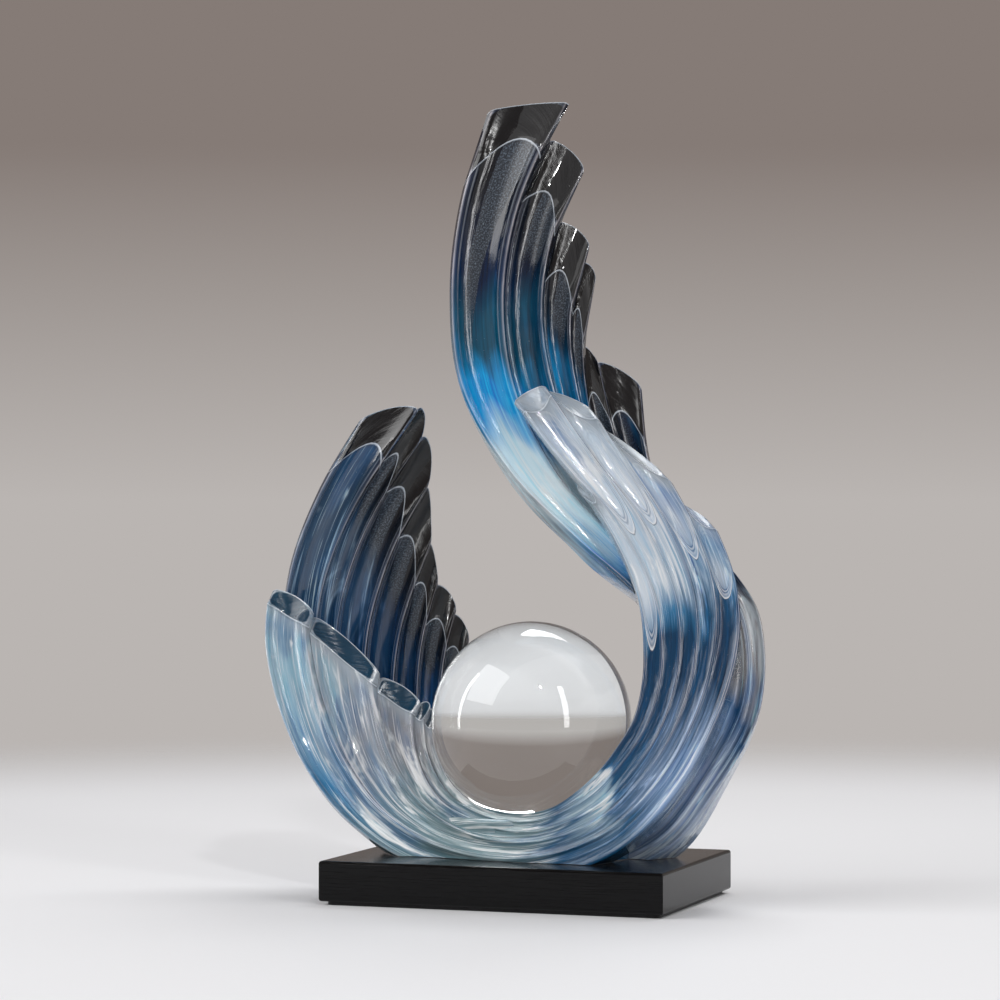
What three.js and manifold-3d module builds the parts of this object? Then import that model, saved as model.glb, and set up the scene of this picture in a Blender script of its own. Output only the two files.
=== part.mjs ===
// Feather sculpture with a glass sphere, in millimetres, +Z up.
// The origin is the middle of the surface it stands on; the front faces -Y.
// Two resin castings, each a crescent of fluted feathers, are bonded along their shared seam and
// screwed to a lacquered plinth. A loose glass sphere rests in the hollow that both of them form.
import * as THREE from "three";
import { mergeVertices } from "three/addons/utils/BufferGeometryUtils.js";
import Module from "manifold-3d";

const wasm = await Module();
wasm.setup();

// Plinth and the felt glued under it
const PLINTH_WIDTH = 194;
const PLINTH_DEPTH = 132;
const PLINTH_HEIGHT = 22;
const PLINTH_EDGE_ROUND = 1.5;
const PLINTH_ROUND_STEPS = 3;
const FELT_THICKNESS = 2;
const FELT_INSET = 3;
const FELT_CORNER_RADIUS = 4;
const FELT_CORNER_STEPS = 6;

// Glass sphere, and how far its lowest point lies above the plinth
const SPHERE_DIAMETER = 110;
const SPHERE_X = 2;
const SPHERE_LOWEST = 18.4;
const SPHERE_SEGMENTS = 36;
const SEAT_CLEARANCE = 0.3;
const LIFT_TILT_DEG = 45;

// Bond lines between castings, and between castings and plinth
const BOND_LINE = 0.3;

// Cradle: the solid bowl under the sphere, part of the front casting
const CRADLE_X = 4;
const CRADLE_Y = -2;
const CRADLE_HEIGHT = 22;
const CRADLE_FOOT_RADIUS = 54;
const CRADLE_RIM_RADIUS = 59;
const CRADLE_RIM_ROUND = 4;
const CRADLE_DEPTH_SHARE = 0.54;
const CRADLE_SIDES = 48;

// Countersunk screws that hold the castings from below, placed by shares of the cradle's foot: two
// in the cradle itself, and one beside it in the back casting
const SCREW_DIAMETER = 4;
const SCREW_LENGTH = 30;
const SCREW_HEAD_DIAMETER = 7.5;
const SCREW_HEAD_HEIGHT = 2.3;
const SCREW_HEAD_RIM = 0.3;
const SCREW_CLEARANCE = 0.3;
const SCREW_SLOT_WIDTH = 1;
const SCREW_SLOT_LENGTH = 4.4;
const SCREW_SLOT_DEPTH = 1.4;
const SCREW_SIDES = 20;
const SCREW_PENETRATION = 12;
const SCREW_PLACES = { front_left: [-0.58, -0.38], front_right: [0.56, -0.38], back: [1.19, 0.39] };

// Feather section: a channel between two rounded lips, and a crowned back.
// Each column holds its share of the feather's width and its height in lips and dips.
// Feathers narrower than the full relief width are shallower in proportion.
const LIP_HEIGHT = 1.6;
const CHANNEL_DEPTH = 5;
const FEATHER_OVERLAP = 1.2;
const FULL_RELIEF_WIDTH = 22;
const FRONT_COLUMNS = [
  { across: 0, lip: -0.8, dip: 0 },
  { across: 0.09, lip: 1, dip: 0 },
  { across: 0.32, lip: 0, dip: 0.8 },
  { across: 0.64, lip: 0, dip: 0.85 },
  { across: 0.91, lip: 1, dip: 0 },
  { across: 1, lip: -0.8, dip: 0 },
];
const BACK_CROWN = [0.8, 0.95, 1.06, 1.06, 0.95, 0.8];

// Each crescent runs from its left tips, down round the sphere, to its right tips.
// Stations pair a point of the outer rim with one of the inner rim, in casting units, whose length
// in millimetres comes first; heights are taken from the plinth's top.
// Ridges give, from outer to inner, the share of the width at which each ridge lies.
// Tips give, for each feather, the station at which its outer and its inner corner end.
// Ridges, thickness and tilt are given at five even places along the run.
// Tip bevels are how many stations the front face ends before the back in the middle of a feather,
// at left and right tips. The tip hollow is the share by which that is less at the feather's edges.
const CASTING_UNIT = 1;
const FRONT_CRESCENT = {
  outer: [
    [-156, 2, 146], [-157, 0, 113], [-147, -4, 78], [-128, -10, 45], [-96, -22, 16], [-51, -34, -4],
    [7, -42, -9], [58, -40, 5], [90, -32, 35], [110, -20, 72], [120, -6, 112], [118, 2, 147],
    [103, 6, 184], [80, 7, 222], [55, 7, 263],
  ],
  inner: [
    [-53, -2, 162], [-56, -2, 117], [-56, -4, 82], [-51, -8, 55], [-34, -18, 35], [-7, -28, 26],
    [22, -36, 28], [44, -34, 42], [59, -29, 60], [69, -22, 81], [72, -17, 110], [67, -15, 147],
    [48, -14, 185], [23, -13, 216], [-1, -12, 250],
  ],
  ridges: [
    [0.25, 0.34, 0.3, 0.24, 0.14],
    [0.62, 0.68, 0.5, 0.44, 0.46],
    [0.95, 0.84, 0.66, 0.62, 0.72],
    [0.98, 0.93, 0.84, 0.82, 1.04],
  ],
  leftTips: [[0.02, 0.48], [0.54, 1.42], [1.5, 1.93], [1.95, 2], [2.05, 2.2]],
  rightTips: [[12.1, 12.4], [12.8, 13.5], [13.75, 14.12], [14.2, 14.05], [12.7, 12.5]],
  thickness: [9, 16, 24, 20, 11],
  tilt: [-3, -2, 0, 2, 3],
  tipBevels: [0.36, 0.36],
  tipHollow: 0.4,
};
const BACK_CRESCENT = {
  outer: [
    [-96, 10, 249], [-129, 12, 199], [-149, 16, 152], [-152, 20, 106], [-136, 20, 60], [-99, 16, 21],
    [-45, 9, -3], [24, -2, -12], [77, -5, 4], [107, 2, 40], [128, 12, 82], [126, 20, 131],
    [103, 25, 165], [79, 27, 200], [64, 25, 245], [57, 23, 294], [74, 26, 341], [110, 36, 380],
  ],
  inner: [
    [25, 46, 251], [-30, 47, 180], [-48, 50, 135], [-57, 52, 97], [-57, 50, 63], [-40, 44, 34],
    [-13, 32, 20], [21, 20, 27], [50, 9, 50], [69, 3, 81], [75, 0, 114], [65, -3, 143], [29, -6, 175],
    [-9, -8, 212], [-36, -9, 258], [-42, -9, 308], [-38, -5, 358], [-24, 2, 412],
  ],
  ridges: [
    [0.23, 0.15, 0.14, 0.15, -0.22],
    [0.34, 0.26, 0.27, 0.26, 0.2],
    [0.53, 0.42, 0.41, 0.39, 0.2],
    [0.71, 0.58, 0.52, 0.41, 0.33],
    [0.79, 0.73, 0.65, 0.5, 0.54],
    [0.92, 0.87, 0.82, 0.71, 0.73],
  ],
  leftTips: [
    [0.19, 0.07], [0.06, 0.38], [0.33, 0.77], [0.77, 1.33], [1.33, 1.8], [1.84, 2.1], [2.19, 2.48],
  ],
  rightTips: [
    [12.4, 12.6], [14.28, 14.5], [14.48, 14.65], [15.4, 15.58], [15.77, 16], [16.6, 16.85], [17.4, 17],
  ],
  thickness: [10, 16, 24, 18, 12],
  tilt: [-3, -2, 0, 2, 3],
  tipBevels: [0.36, 0.5],
  tipHollow: -0.5,
};

// Feather tips, in stations, and how finely a feather is divided along its run
const STATION_SPACING = 36;
const TIP_LOBE = 0.05;
const TIP_CORNER = 0.045;
const TIP_CORNER_SHARPNESS = 10;
const RING_STEP = 0.66;

// Places that follow from the sizes above
const PLINTH_TOP = FELT_THICKNESS + PLINTH_HEIGHT;
const FOOT_LEVEL = PLINTH_TOP + BOND_LINE;
const SPHERE_RADIUS = SPHERE_DIAMETER / 2;
const SPHERE_CENTRE = new THREE.Vector3(SPHERE_X, 0, PLINTH_TOP + SPHERE_LOWEST + SPHERE_RADIUS);
const LIFT_TILT = THREE.MathUtils.degToRad(LIFT_TILT_DEG);
const SCREW_TOP = PLINTH_TOP + SCREW_PENETRATION;
const SCREW_BOTTOM = SCREW_TOP - SCREW_LENGTH;

// A closed geometry as a solid that can be cut and joined.
function toSolid(geometry) {
  const bare = geometry.clone();
  bare.deleteAttribute("normal");
  bare.deleteAttribute("uv");
  const merged = mergeVertices(bare, 1e-4);
  return new wasm.Manifold(
    new wasm.Mesh({
      numProp: 3,
      vertProperties: new Float32Array(merged.getAttribute("position").array),
      triVerts: new Uint32Array(merged.index.array),
    }),
  );
}

// A solid back as a geometry with flat-shaded faces.
function toGeometry(solid) {
  const mesh = solid.getMesh();
  const geometry = new THREE.BufferGeometry();
  geometry.setAttribute("position", new THREE.BufferAttribute(mesh.vertProperties, 3));
  geometry.setIndex(new THREE.BufferAttribute(mesh.triVerts, 1));
  const flat = geometry.toNonIndexed();
  flat.computeVertexNormals();
  return flat;
}

// A rim through stations whose heights are taken from the plinth's top.
function rimThrough(stations) {
  const foot = new THREE.Vector3(0, 0, PLINTH_TOP);
  const places = stations.map((place) => new THREE.Vector3(...place).multiplyScalar(CASTING_UNIT).add(foot));
  return new THREE.CatmullRomCurve3(places, false, "catmullrom", 0.5);
}

// A value that passes smoothly through evenly spaced ones.
function valueThrough(values) {
  const curve = new THREE.SplineCurve(values.map((value) => new THREE.Vector2(value, 0)));
  return (share) => curve.getPoint(THREE.MathUtils.clamp(share, 0, 1)).x;
}

// Closed skin over equal rings. The first half of a ring is its front row, the second half its back
// row in reverse, and strips between the two rows close both ends.
function loft(rings) {
  const size = rings[0].length;
  const half = size / 2;
  const faces = [];
  for (let ring = 0; ring + 1 < rings.length; ring++) {
    for (let column = 0; column < size; column++) {
      const a = ring * size + column;
      const b = ring * size + ((column + 1) % size);
      faces.push(a, a + size, b + size, a, b + size, b);
    }
  }
  const last = (rings.length - 1) * size;
  for (let column = 0; column + 1 < half; column++) {
    const back = size - 1 - column;
    faces.push(column, column + 1, back - 1, column, back - 1, back);
    faces.push(last + column, last + back, last + back - 1);
    faces.push(last + column, last + back - 1, last + column + 1);
  }
  const geometry = new THREE.BufferGeometry();
  const places = rings.flat().flatMap((point) => point.toArray());
  geometry.setAttribute("position", new THREE.Float32BufferAttribute(places, 3));
  geometry.setIndex(faces);
  return geometry;
}

// The band that a crescent's feathers lie in: place(station, share across, depth) is a point of it.
function bandOf(crescent) {
  const outer = rimThrough(crescent.outer);
  const inner = rimThrough(crescent.inner);
  const lastStation = crescent.outer.length - 1;
  return (station, share, depth) => {
    const along = THREE.MathUtils.clamp(station / lastStation, 0, 1);
    const from = outer.getPoint(along);
    const across = inner.getPoint(along).sub(from);
    const run = outer.getTangent(along).add(inner.getTangent(along));
    const forward = run.clone().cross(across).normalize();
    const beyond = station - along * lastStation;
    const step = run.normalize().multiplyScalar(beyond * STATION_SPACING);
    return from.addScaledVector(across, share).addScaledVector(forward, depth).add(step);
  };
}

// One feather of a crescent, larger by grow all round.
function feather(crescent, index, grow) {
  const band = bandOf(crescent);
  const lastStation = crescent.outer.length - 1;
  const ridges = [[0, 0], ...crescent.ridges, [1, 1]].map(valueThrough);
  const thickness = valueThrough(crescent.thickness);
  const tilt = valueThrough(crescent.tilt);
  const [leftOuter, leftInner] = crescent.leftTips[index];
  const [rightOuter, rightInner] = crescent.rightTips[index];
  const [leftBevel, rightBevel] = crescent.tipBevels;
  const growStations = grow / STATION_SPACING;

  const stationAt = (across, front, along) => {
    const lobe = TIP_LOBE * Math.sin(Math.PI * across);
    const corner = TIP_CORNER * Math.pow(Math.abs(2 * across - 1), TIP_CORNER_SHARPNESS);
    const inset = corner - lobe - growStations;
    const scoop = front ? 1 + crescent.tipHollow * (Math.sin(Math.PI * across) - 1) : 0;
    const start = THREE.MathUtils.lerp(leftOuter, leftInner, across) + inset + scoop * leftBevel;
    const end = THREE.MathUtils.lerp(rightOuter, rightInner, across) - inset - scoop * rightBevel;
    return THREE.MathUtils.lerp(start, end, along);
  };

  const point = (across, front, row, along) => {
    const station = stationAt(across, front, along);
    const place = station / lastStation;
    const low = ridges[index](place);
    const high = ridges[index + 1](place);
    const width = band(station, low, 0).distanceTo(band(station, high, 0));
    const spare = (FEATHER_OVERLAP / 2 + grow) / Math.max(width, 1);
    const share = THREE.MathUtils.lerp(low, high, across + spare * (2 * across - 1));
    const slim = Math.min(1, width / FULL_RELIEF_WIDTH);
    const lean = tilt(place) * (0.5 - across) * slim;
    if (front) {
      const { lip, dip } = FRONT_COLUMNS[row];
      return band(station, share, lean + (lip * LIP_HEIGHT - dip * CHANNEL_DEPTH) * slim + grow);
    }
    return band(station, share, lean - thickness(place) * BACK_CROWN[row] - grow);
  };

  const rings = [];
  const ringCount = Math.ceil((stationAt(0.5, false, 1) - stationAt(0.5, false, 0)) / RING_STEP);
  for (let ring = 0; ring <= ringCount; ring++) {
    const along = ring / ringCount;
    const front = FRONT_COLUMNS.map(({ across }, row) => point(across, true, row, along));
    const back = FRONT_COLUMNS.map(({ across }, row) => point(across, false, row, along));
    rings.push([...front, ...back.reverse()]);
  }
  return toSolid(loft(rings));
}

function feathers(crescent, grow = 0) {
  const solids = crescent.leftTips.map((_, index) => feather(crescent, index, grow));
  return solids.reduce((joined, solid) => joined.add(solid));
}

// The bowl that carries the sphere, an ellipse in plan that widens upwards.
function cradle(grow = 0) {
  const foot = PLINTH_TOP;
  const rim = FOOT_LEVEL + CRADLE_HEIGHT + grow;
  const profile = [
    new THREE.Vector2(0, foot),
    new THREE.Vector2(CRADLE_FOOT_RADIUS + grow, foot),
    new THREE.Vector2(CRADLE_RIM_RADIUS + grow, rim - CRADLE_RIM_ROUND),
    new THREE.Vector2(CRADLE_RIM_RADIUS - CRADLE_RIM_ROUND + grow, rim),
    new THREE.Vector2(0, rim),
  ];
  const geometry = new THREE.LatheGeometry(profile, CRADLE_SIDES);
  geometry.rotateX(Math.PI / 2);
  geometry.scale(1, CRADLE_DEPTH_SHARE, 1);
  geometry.translate(CRADLE_X, CRADLE_Y, 0);
  return toSolid(geometry);
}

// The way that the sphere and its clearance take out of the seat.
function sphereWay() {
  const radius = SPHERE_RADIUS + SEAT_CLEARANCE;
  const ball = new THREE.SphereGeometry(radius, SPHERE_SEGMENTS, SPHERE_SEGMENTS / 2);
  const length = 2 * SPHERE_DIAMETER;
  const path = new THREE.CylinderGeometry(radius, radius, length, SPHERE_SEGMENTS);
  path.translate(0, length / 2, 0);
  path.rotateX(Math.PI / 2 + LIFT_TILT);
  for (const geometry of [ball, path]) {
    geometry.translate(...SPHERE_CENTRE.toArray());
  }
  return toSolid(ball).add(toSolid(path));
}

// Everything below the level of the castings' feet.
function belowFeet() {
  const depth = 2 * PLINTH_TOP;
  const slab = new THREE.BoxGeometry(2 * PLINTH_WIDTH, 2 * PLINTH_DEPTH, depth);
  slab.translate(0, 0, FOOT_LEVEL - depth / 2);
  return toSolid(slab);
}

// A countersunk screw standing head down; grow makes it the hole that it passes through.
function screwBody(grow = 0) {
  const headFrom = grow ? -PLINTH_TOP : 0;
  const headRadius = SCREW_HEAD_DIAMETER / 2 + grow;
  const shankRadius = SCREW_DIAMETER / 2 + grow;
  const end = SCREW_LENGTH + grow;
  const profile = [
    new THREE.Vector2(0, headFrom),
    new THREE.Vector2(headRadius, headFrom),
    new THREE.Vector2(headRadius, SCREW_HEAD_RIM + grow),
    new THREE.Vector2(shankRadius, SCREW_HEAD_HEIGHT + grow),
    new THREE.Vector2(shankRadius, end - SCREW_DIAMETER / 4),
    new THREE.Vector2(shankRadius - SCREW_DIAMETER / 4, end),
    new THREE.Vector2(0, end),
  ];
  const geometry = new THREE.LatheGeometry(profile, SCREW_SIDES);
  geometry.rotateX(Math.PI / 2);
  return geometry;
}

function screw() {
  let solid = toSolid(screwBody());
  for (const [width, depth] of [
    [SCREW_SLOT_LENGTH, SCREW_SLOT_WIDTH],
    [SCREW_SLOT_WIDTH, SCREW_SLOT_LENGTH],
  ]) {
    solid = solid.subtract(toSolid(new THREE.BoxGeometry(width, depth, 2 * SCREW_SLOT_DEPTH)));
  }
  return toGeometry(solid);
}

// Where a screw's middle lies, from its shares of the cradle's foot.
function screwPlace([length, depth]) {
  const x = CRADLE_X + length * CRADLE_FOOT_RADIUS;
  const y = CRADLE_Y + depth * CRADLE_FOOT_RADIUS * CRADLE_DEPTH_SHARE;
  return [x, y, SCREW_BOTTOM];
}

function screwHoles() {
  return Object.values(SCREW_PLACES)
    .map((shares) => toSolid(screwBody(SCREW_CLEARANCE).translate(...screwPlace(shares))))
    .reduce((joined, hole) => joined.add(hole));
}

function plinth() {
  const round = PLINTH_EDGE_ROUND;
  const outline = new THREE.Shape();
  const halfWidth = PLINTH_WIDTH / 2 - round;
  const halfDepth = PLINTH_DEPTH / 2 - round;
  outline.moveTo(-halfWidth, -halfDepth);
  outline.lineTo(halfWidth, -halfDepth);
  outline.lineTo(halfWidth, halfDepth);
  outline.lineTo(-halfWidth, halfDepth);
  const block = new THREE.ExtrudeGeometry(outline, {
    depth: PLINTH_HEIGHT - 2 * round,
    bevelEnabled: true,
    bevelThickness: round,
    bevelSize: round,
    bevelSegments: PLINTH_ROUND_STEPS,
    steps: 1,
  });
  block.translate(0, 0, FELT_THICKNESS + round);
  return toGeometry(toSolid(block).subtract(screwHoles()));
}

// The felt sheet, whose underside is what the object stands on.
function feltSheet() {
  const right = PLINTH_WIDTH / 2 - FELT_INSET;
  const back = PLINTH_DEPTH / 2 - FELT_INSET;
  const turn = FELT_CORNER_RADIUS;
  const outline = new THREE.Shape();
  outline.absarc(right - turn, back - turn, turn, 0, Math.PI / 2);
  outline.absarc(turn - right, back - turn, turn, Math.PI / 2, Math.PI);
  outline.absarc(turn - right, turn - back, turn, Math.PI, 1.5 * Math.PI);
  outline.absarc(right - turn, turn - back, turn, 1.5 * Math.PI, 2 * Math.PI);
  const sheet = new THREE.ExtrudeGeometry(outline, {
    depth: FELT_THICKNESS,
    bevelEnabled: false,
    curveSegments: FELT_CORNER_STEPS,
  });
  return toGeometry(toSolid(sheet));
}

// The largest body alone, without crumbs that a cut leaves or hollows enclosed between feathers.
function mainBody(solid) {
  return solid.decompose().reduce((main, body) => (body.volume() > main.volume() ? body : main));
}

const way = sphereWay();
const floor = belowFeet();
const holes = screwHoles();
const frontBlank = mainBody(feathers(FRONT_CRESCENT).add(cradle()));
const frontRoom = mainBody(feathers(FRONT_CRESCENT, BOND_LINE).add(cradle(BOND_LINE)).add(frontBlank));
const backBlank = mainBody(feathers(BACK_CRESCENT));
const cuts = way.add(floor).add(holes);
const frontWing = mainBody(frontBlank.subtract(cuts));
const backWing = mainBody(backBlank.subtract(frontRoom).subtract(cuts));

const lacquer = new THREE.MeshStandardMaterial({ color: 0x0c0c0e, roughness: 0.22, metalness: 0 });
const frontResin = new THREE.MeshStandardMaterial({ color: 0x7fb0d4, roughness: 0.08, metalness: 0 });
const backResin = new THREE.MeshStandardMaterial({ color: 0x17507e, roughness: 0.08, metalness: 0 });
const glass = new THREE.MeshStandardMaterial({ color: 0xe9eef0, roughness: 0.02, metalness: 0 });
const felt = new THREE.MeshStandardMaterial({ color: 0x1a1a1a, roughness: 0.95, metalness: 0 });
const zinc = new THREE.MeshStandardMaterial({ color: 0xb4b6b8, roughness: 0.35, metalness: 1 });

const group = new THREE.Group();

function addPiece(name, geometry, material, x = 0, y = 0, z = 0) {
  const mesh = new THREE.Mesh(geometry, material);
  mesh.name = name;
  mesh.position.set(x, y, z);
  group.add(mesh);
}

addPiece("plinth", plinth(), lacquer);
addPiece("front_wing", toGeometry(frontWing), frontResin);
addPiece("back_wing", toGeometry(backWing), backResin);
const sphere = new THREE.SphereGeometry(SPHERE_RADIUS, SPHERE_SEGMENTS, SPHERE_SEGMENTS / 2);
addPiece("glass_sphere", sphere, glass, ...SPHERE_CENTRE.toArray());
for (const [place, shares] of Object.entries(SCREW_PLACES)) {
  addPiece("screw_" + place, screw(), zinc, ...screwPlace(shares));
}
addPiece("base_felt", feltSheet(), felt);

export default group;
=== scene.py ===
"""Feather sculpture with a glass sphere: its looks, in metres, in the part's own frame.

Two crescents of fluted resin feathers, a loose crystal ball, a lacquered plinth with felt under it,
and a plain studio.
"""

import math

import bmesh
import bpy
from mathutils import Matrix, Vector


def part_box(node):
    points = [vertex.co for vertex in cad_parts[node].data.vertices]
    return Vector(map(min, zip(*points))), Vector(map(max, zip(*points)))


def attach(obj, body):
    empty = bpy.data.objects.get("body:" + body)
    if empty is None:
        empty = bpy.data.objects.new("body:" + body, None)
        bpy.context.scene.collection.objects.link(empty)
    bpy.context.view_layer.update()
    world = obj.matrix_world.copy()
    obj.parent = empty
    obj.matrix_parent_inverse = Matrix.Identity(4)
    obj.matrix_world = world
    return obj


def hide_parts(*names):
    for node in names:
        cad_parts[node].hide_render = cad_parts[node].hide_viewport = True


bl_info = {
    "name": "Feather sculpture with sphere",
    "version": (1, 0, 0),
    "blender": (4, 5, 0),
    "location": "View3D > Sidebar > Feather sculpture",
    "description": "Dresses a resin feather sculpture that holds a glass sphere",
    "category": "Object",
}

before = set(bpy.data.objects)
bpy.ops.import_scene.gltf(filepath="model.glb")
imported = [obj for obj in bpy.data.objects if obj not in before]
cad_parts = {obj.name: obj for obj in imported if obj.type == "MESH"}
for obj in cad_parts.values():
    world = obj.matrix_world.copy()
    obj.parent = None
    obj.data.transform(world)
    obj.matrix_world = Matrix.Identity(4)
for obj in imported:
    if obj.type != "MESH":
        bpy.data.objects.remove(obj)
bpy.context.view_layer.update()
MM = 0.001

# Height of the plinth's top, and the sphere's middle and radius, as the frame has them
PLINTH_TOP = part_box("plinth")[1].z
SPHERE_LOW, SPHERE_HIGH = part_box("glass_sphere")
SPHERE_CENTRE = (SPHERE_LOW + SPHERE_HIGH) / 2
SPHERE_RADIUS = (SPHERE_HIGH.z - SPHERE_LOW.z) / 2

# Each crescent runs from its left tips, down round the sphere, to its right tips. Stations pair a
# point of the outer rim with one of the inner rim, in millimetres, heights from the plinth's top.
# Ridges give the share of the width of each ridge at five even places along the run, and tips the
# stations at which each feather's outer and inner corner end. Thickness, tilt and relief belong to the
# same five places: millimetres, millimetres that a feather's inner side lies behind its outer side, and
# the share of the lips and the channel. Bevels are the stations that the left and right flats lean over,
# and the hollow is how much less they lean at a feather's edges.
FRONT_CRESCENT = {
    "outer": [
        (-156, 2, 146), (-157, 0, 113), (-147, -4, 78), (-128, -10, 45), (-96, -22, 16), (-51, -34, -4),
        (7, -42, -9), (58, -40, 5), (90, -32, 35), (110, -20, 72), (120, -6, 112), (118, 2, 147),
        (103, 6, 184), (80, 7, 222), (55, 7, 263),
    ],
    "inner": [
        (-53, -2, 162), (-56, -2, 117), (-56, -4, 82), (-51, -8, 55), (-34, -18, 35), (-7, -28, 26),
        (22, -36, 28), (44, -34, 42), (59, -29, 60), (69, -22, 81), (72, -17, 110), (67, -15, 147),
        (48, -14, 185), (23, -13, 216), (-1, -12, 250),
    ],
    "ridges": [
        (0.25, 0.34, 0.3, 0.24, 0.14),
        (0.62, 0.68, 0.5, 0.44, 0.46),
        (0.95, 0.84, 0.66, 0.62, 0.72),
        (0.98, 0.93, 0.84, 0.82, 1.04),
    ],
    "left_tips": [(0.02, 0.48), (0.54, 1.42), (1.5, 1.93), (1.95, 2), (2.05, 2.2)],
    "right_tips": [(12.1, 12.4), (12.8, 13.5), (13.75, 14.12), (14.2, 14.05), (12.7, 12.5)],
    "thickness": (9, 16, 24, 20, 11),
    "tilt": (-3, -2, 0, 2, 3),
    "tip_bevels": (0.36, 0.36),
    "tip_hollow": 0.4,
    "relief": (1, 0.9, 0.2, 0.4, 1),
}
BACK_CRESCENT = {
    "outer": [
        (-96, 10, 249), (-129, 12, 199), (-149, 16, 152), (-152, 20, 106), (-136, 20, 60),
        (-99, 16, 21), (-45, 9, -3), (24, -2, -12), (77, -5, 4), (107, 2, 40), (128, 12, 82),
        (126, 20, 131), (103, 25, 165), (79, 27, 200), (64, 25, 245), (57, 23, 294), (74, 26, 341),
        (110, 36, 380),
    ],
    "inner": [
        (25, 46, 251), (-30, 47, 180), (-48, 50, 135), (-57, 52, 97), (-57, 50, 63), (-40, 44, 34),
        (-13, 32, 20), (21, 20, 27), (50, 9, 50), (69, 3, 81), (75, 0, 114), (65, -3, 143),
        (29, -6, 175), (-9, -8, 212), (-36, -9, 258), (-42, -9, 308), (-38, -5, 358), (-24, 2, 412),
    ],
    "ridges": [
        (0.23, 0.15, 0.14, 0.15, -0.22),
        (0.34, 0.26, 0.27, 0.26, 0.2),
        (0.53, 0.42, 0.41, 0.39, 0.2),
        (0.71, 0.58, 0.52, 0.41, 0.33),
        (0.79, 0.73, 0.65, 0.5, 0.54),
        (0.92, 0.87, 0.82, 0.71, 0.73),
    ],
    "left_tips": [
        (0.19, 0.07), (0.06, 0.38), (0.33, 0.77), (0.77, 1.33), (1.33, 1.8), (1.84, 2.1), (2.19, 2.48),
    ],
    "right_tips": [
        (12.4, 12.6), (14.28, 14.5), (14.48, 14.65), (15.4, 15.58), (15.77, 16), (16.6, 16.85),
        (17.4, 17),
    ],
    "thickness": (10, 16, 24, 18, 12),
    "tilt": (-3, -2, 0, 2, 3),
    "tip_bevels": (0.36, 0.5),
    "tip_hollow": -0.5,
    "relief": (1, 1, 0.7, 1, 1),
}
STATION_SPACING = 36  # millimetres along the run from one station to the next
BAND_WIDTH = 95  # millimetres across the band, as the resin's patterns reckon it
WALL_SHARE = 0.2  # share of the band by which the pattern has moved on at the back face
FEATHER_OVERLAP = 1.2  # millimetres that neighbours have in common
FULL_RELIEF_WIDTH = 22  # millimetres of width from which a feather has its full lips and channel
LIP_DROP = 0.8  # how far a lip's foot lies below its line, as a share of its height
CHANNEL_ROUNDNESS = 0.8  # below one, the channel is wider and flatter than a sine
EDGE_THICKNESS, CROWN = 0.8, 0.27  # a feather's thickness at its edges, and what its middle adds
TIP_LOBE = 0.05  # how far a tip bulges in its middle, in stations
TIP_CORNER, TIP_CORNER_SHARPNESS = 0.045, 10  # how far its corners stand back, and how suddenly
ROUNDING_ROWS = [0, 0.5, 1.5, 3]  # millimetres from a tip to each row of faces that rounds it
BOND_LINE = 0.3  # millimetres between the castings, and between them and the plinth
INWARD_STEP = 0.02  # share of the run over which a flat's inward direction is taken
SHORTEST_EDGE = 0.02 * MM  # what a cut leaves shorter than this is merged
SHARP_ANGLE = 38  # degrees from which an edge stays sharp

# The cradle: its middle, its depth as a share of its length, and the rounding of its rim. Its place in
# the dye's flow: the shares at its middle, those that its height adds, and the metres per whole share.
CRADLE_MIDDLE = Vector((4 * MM, -2 * MM, PLINTH_TOP))
CRADLE_DEPTH_SHARE = 0.54
CRADLE_ROUNDING = 4 * MM
CRADLE_FLOW = (0.24, 0.43)
CRADLE_FLOW_CLIMB = 0.6
CRADLE_FLOW_METRES = (0.1, 0.56)

# In a feather's own map, the middle of its width and 0.45 m from its tips: no lip, rim or grit there
FAR_FROM_TIPS = (0.5, 0.45)

# The way that is cut free for the sphere, its lean forwards in degrees, and what is cut off below
# the feet, in metres
SEAT_WAY_LENGTH = 0.22
SEAT_WAY_LEAN = 45
BELOW_FEET = (0.5, 0.4, 0.06)

# The camera: place in metres, turn in degrees and lens in millimetres
CAMERA_PLACE = (0.6158, -1.8049, 0.219)
CAMERA_TURN = 19.3
CAMERA_LENS = 125

# The floor's radius, the distances over which it thins out, and the height at which the backdrop has
# its own colour, as a share of straight up
FLOOR_RADIUS = 1.6
FLOOR_FADE = (1.4, 0.7)
BACKDROP_REACH = 0.1

# Each lamp's place, width and height in metres. All face the same point.
LAMPS = {
    "key": ((-1.3, -1.2, 1.5), (1.5, 1.5)),
    "slit": ((-1.5, -0.5, 0.6), (0.12, 1.6)),
    "strip": ((1.5, -0.9, 0.7), (0.2, 1.5)),
    "glint": ((0.8, -1.3, 1.5), (0.1, 0.1)),
    "top": ((0.2, 0.9, 1.6), (1.4, 0.5)),
}
LAMPS_AIM = Vector((0, 0, 0.2))


# Shapes


def point_through(points, share, run_on):
    """The point at that share of a smooth line through evenly counted points, and its direction.

    Where it runs on, it passes its end points at full pace, and otherwise at half.
    """
    last = len(points) - 1
    place = min(max(share, 0), 1) * last
    low = min(int(place), last - 1)
    t = place - low
    a, b = points[low], points[low + 1]
    before = points[low - 1] if low > 0 else (2 * a - b if run_on else a)
    after = points[low + 2] if low + 2 <= last else (2 * b - a if run_on else b)
    leave, arrive = (b - before) / 2, (after - a) / 2
    point = (
        a * (2 * t**3 - 3 * t**2 + 1)
        + leave * (t**3 - 2 * t**2 + t)
        + b * (3 * t**2 - 2 * t**3)
        + arrive * (t**3 - t**2)
    )
    way = (
        a * (6 * t**2 - 6 * t)
        + leave * (3 * t**2 - 4 * t + 1)
        + b * (6 * t - 6 * t**2)
        + arrive * (3 * t**2 - 2 * t)
    )
    return point, way


def value_through(values, share):
    return point_through([float(v) for v in values], share, False)[0]


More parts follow.
